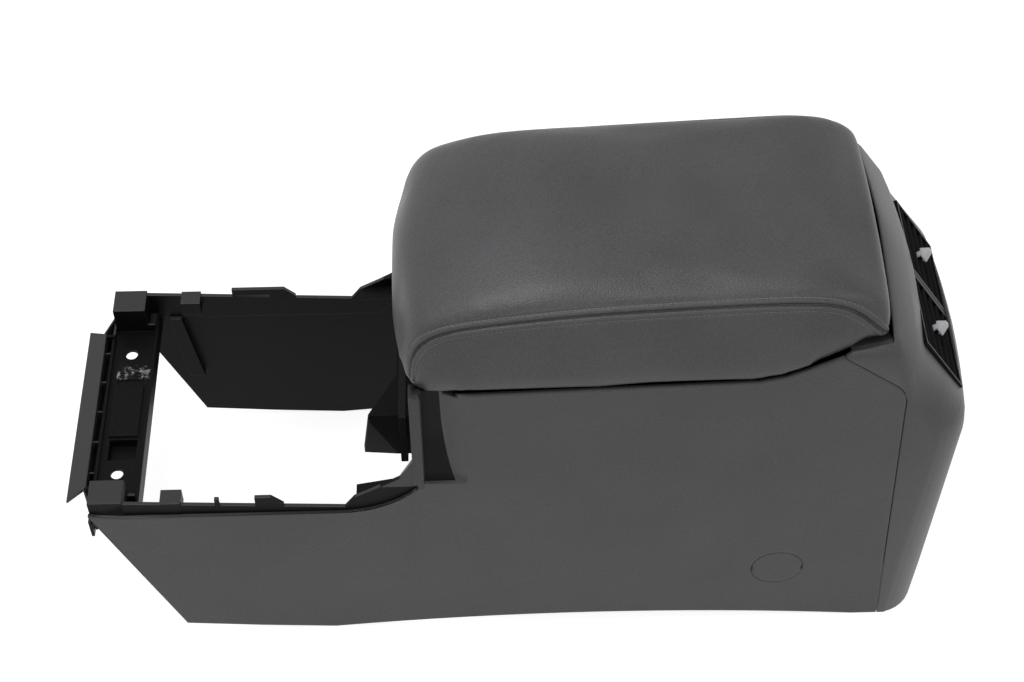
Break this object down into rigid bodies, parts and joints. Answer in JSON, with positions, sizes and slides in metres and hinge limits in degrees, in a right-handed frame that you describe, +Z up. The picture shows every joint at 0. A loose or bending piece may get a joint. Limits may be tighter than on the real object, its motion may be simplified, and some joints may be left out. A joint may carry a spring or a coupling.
{
  "type": "car center console",
  "caption": "Car center console: padded armrest hinged over a storage bin, open front tray with screw holes, rear end with air vents.",
  "frame": {"origin": "on the floor, midway along and across the bounding box", "axes": "+X towards the car's rear, +Y to the car's right side, +Z up"},
  "size_m": [0.61, 0.2, 0.3393],
  "materials": {
    "body_plastic": "matte",
    "inner_plastic": "matte",
    "pad_leather": "satin",
    "knob_silver": "satin",
    "soft_rubber": "matte",
    "steel": "satin"
  },
  "bodies": {
    "console": {"console_body": "body_plastic", "rear_cap": "body_plastic", "storage_bin": "inner_plastic", "bin_mat": "soft_rubber", "air_duct": "inner_plastic", "duct_seal": "soft_rubber", "vent_housing": "inner_plastic", "hinge_bracket": "steel", "hinge_pin": "steel", "left_plug": "body_plastic", "right_plug": "body_plastic", "side_screws": "steel", "cap_screws": "steel", "bracket_screws": "steel", "lid_stops": "soft_rubber", "left_clip": "steel", "right_clip": "steel"},
    "armrest": {"armrest_base": "inner_plastic", "armrest_pad": "pad_leather", "latch_pin": "steel"},
    "latch": {"latch_lever": "inner_plastic"},
    "left_louvre_1": {"left_louvre_1": "inner_plastic"},
    "left_louvre_2": {"left_louvre_2": "inner_plastic"},
    "left_louvre_3": {"left_louvre_3": "inner_plastic"},
    "left_louvre_4": {"left_louvre_4": "inner_plastic"},
    "left_louvre_5": {"left_louvre_5": "inner_plastic"},
    "left_knob": {"left_knob": "knob_silver"},
    "left_vane_1": {"left_vane_1": "inner_plastic"},
    "left_vane_2": {"left_vane_2": "inner_plastic"},
    "left_vane_3": {"left_vane_3": "inner_plastic"},
    "left_vane_4": {"left_vane_4": "inner_plastic"},
    "right_louvre_1": {"right_louvre_1": "inner_plastic"},
    "right_louvre_2": {"right_louvre_2": "inner_plastic"},
    "right_louvre_3": {"right_louvre_3": "inner_plastic"},
    "right_louvre_4": {"right_louvre_4": "inner_plastic"},
    "right_louvre_5": {"right_louvre_5": "inner_plastic"},
    "right_knob": {"right_knob": "knob_silver"},
    "right_vane_1": {"right_vane_1": "inner_plastic"},
    "right_vane_2": {"right_vane_2": "inner_plastic"},
    "right_vane_3": {"right_vane_3": "inner_plastic"},
    "right_vane_4": {"right_vane_4": "inner_plastic"}
  },
  "joints": [
    {"name": "armrest_hinge", "type": "hinge", "parent": "console", "child": "armrest", "pos_m": [0.21, 0, 0.318], "axis": [0, 1, 0], "range_deg": [0, 65]},
    {"name": "latch_pull", "type": "hinge", "parent": "armrest", "child": "latch", "pos_m": [-0.058, 0, 0.276], "axis": [0, 1, 0], "range_deg": [0, 10], "stiffness_Nm_per_rad": 0.2, "springref_deg": -11.46},
    {"name": "left_louvre_1_tilt", "type": "hinge", "parent": "console", "child": "left_louvre_1", "pos_m": [0.26478, -0.0323, 0.25723], "axis": [0, 1, 0], "range_deg": [-25, 25]},
    {"name": "left_louvre_2_tilt", "type": "hinge", "parent": "console", "child": "left_louvre_2", "pos_m": [0.27051, -0.0323, 0.24855], "axis": [0, 1, 0], "range_deg": [-25, 25]},
    {"name": "left_louvre_3_tilt", "type": "hinge", "parent": "console", "child": "left_louvre_3", "pos_m": [0.27624, -0.0323, 0.23987], "axis": [0, 1, 0], "range_deg": [-25, 25]},
    {"name": "left_louvre_4_tilt", "type": "hinge", "parent": "console", "child": "left_louvre_4", "pos_m": [0.28197, -0.0323, 0.23119], "axis": [0, 1, 0], "range_deg": [-25, 25]},
    {"name": "left_louvre_5_tilt", "type": "hinge", "parent": "console", "child": "left_louvre_5", "pos_m": [0.2877, -0.0323, 0.22251], "axis": [0, 1, 0], "range_deg": [-25, 25]},
    {"name": "left_knob_slide", "type": "slide", "parent": "left_louvre_3", "child": "left_knob", "axis": [0, 1, 0], "range_m": [-0.012, 0.012]},
    {"name": "left_vane_1_swing", "type": "hinge", "parent": "console", "child": "left_vane_1", "pos_m": [0.2633, -0.04928, 0.23133], "axis": [0.5508, 0, -0.8346], "range_deg": [-30, 30]},
    {"name": "left_vane_2_swing", "type": "hinge", "parent": "console", "child": "left_vane_2", "pos_m": [0.2633, -0.03796, 0.23133], "axis": [0.5508, 0, -0.8346], "range_deg": [-30, 30]},
    {"name": "left_vane_3_swing", "type": "hinge", "parent": "console", "child": "left_vane_3", "pos_m": [0.2633, -0.02664, 0.23133], "axis": [0.5508, 0, -0.8346], "range_deg": [-30, 30]},
    {"name": "left_vane_4_swing", "type": "hinge", "parent": "console", "child": "left_vane_4", "pos_m": [0.2633, -0.01532, 0.23133], "axis": [0.5508, 0, -0.8346], "range_deg": [-30, 30]},
    {"name": "right_louvre_1_tilt", "type": "hinge", "parent": "console", "child": "right_louvre_1", "pos_m": [0.26478, 0.0323, 0.25723], "axis": [0, 1, 0], "range_deg": [-25, 25]},
    {"name": "right_louvre_2_tilt", "type": "hinge", "parent": "console", "child": "right_louvre_2", "pos_m": [0.27051, 0.0323, 0.24855], "axis": [0, 1, 0], "range_deg": [-25, 25]},
    {"name": "right_louvre_3_tilt", "type": "hinge", "parent": "console", "child": "right_louvre_3", "pos_m": [0.27624, 0.0323, 0.23987], "axis": [0, 1, 0], "range_deg": [-25, 25]},
    {"name": "right_louvre_4_tilt", "type": "hinge", "parent": "console", "child": "right_louvre_4", "pos_m": [0.28197, 0.0323, 0.23119], "axis": [0, 1, 0], "range_deg": [-25, 25]},
    {"name": "right_louvre_5_tilt", "type": "hinge", "parent": "console", "child": "right_louvre_5", "pos_m": [0.2877, 0.0323, 0.22251], "axis": [0, 1, 0], "range_deg": [-25, 25]},
    {"name": "right_knob_slide", "type": "slide", "parent": "right_louvre_3", "child": "right_knob", "axis": [0, 1, 0], "range_m": [-0.012, 0.012]},
    {"name": "right_vane_1_swing", "type": "hinge", "parent": "console", "child": "right_vane_1", "pos_m": [0.2633, 0.01532, 0.23133], "axis": [0.5508, 0, -0.8346], "range_deg": [-30, 30]},
    {"name": "right_vane_2_swing", "type": "hinge", "parent": "console", "child": "right_vane_2", "pos_m": [0.2633, 0.02664, 0.23133], "axis": [0.5508, 0, -0.8346], "range_deg": [-30, 30]},
    {"name": "right_vane_3_swing", "type": "hinge", "parent": "console", "child": "right_vane_3", "pos_m": [0.2633, 0.03796, 0.23133], "axis": [0.5508, 0, -0.8346], "range_deg": [-30, 30]},
    {"name": "right_vane_4_swing", "type": "hinge", "parent": "console", "child": "right_vane_4", "pos_m": [0.2633, 0.04928, 0.23133], "axis": [0.5508, 0, -0.8346], "range_deg": [-30, 30]}
  ],
  "couplings": [
    {"joint": "left_louvre_1_tilt", "follows": "left_louvre_3_tilt", "ratio": 1},
    {"joint": "left_louvre_2_tilt", "follows": "left_louvre_3_tilt", "ratio": 1},
    {"joint": "left_louvre_4_tilt", "follows": "left_louvre_3_tilt", "ratio": 1},
    {"joint": "left_louvre_5_tilt", "follows": "left_louvre_3_tilt", "ratio": 1},
    {"joint": "left_vane_1_swing", "follows": "left_knob_slide", "rad_per_m": -43.59},
    {"joint": "left_vane_2_swing", "follows": "left_knob_slide", "rad_per_m": -43.59},
    {"joint": "left_vane_3_swing", "follows": "left_knob_slide", "rad_per_m": -43.59},
    {"joint": "left_vane_4_swing", "follows": "left_knob_slide", "rad_per_m": -43.59},
    {"joint": "right_louvre_1_tilt", "follows": "right_louvre_3_tilt", "ratio": 1},
    {"joint": "right_louvre_2_tilt", "follows": "right_louvre_3_tilt", "ratio": 1},
    {"joint": "right_louvre_4_tilt", "follows": "right_louvre_3_tilt", "ratio": 1},
    {"joint": "right_louvre_5_tilt", "follows": "right_louvre_3_tilt", "ratio": 1},
    {"joint": "right_vane_1_swing", "follows": "right_knob_slide", "rad_per_m": -43.59},
    {"joint": "right_vane_2_swing", "follows": "right_knob_slide", "rad_per_m": -43.59},
    {"joint": "right_vane_3_swing", "follows": "right_knob_slide", "rad_per_m": -43.59},
    {"joint": "right_vane_4_swing", "follows": "right_knob_slide", "rad_per_m": -43.59}
  ]
}
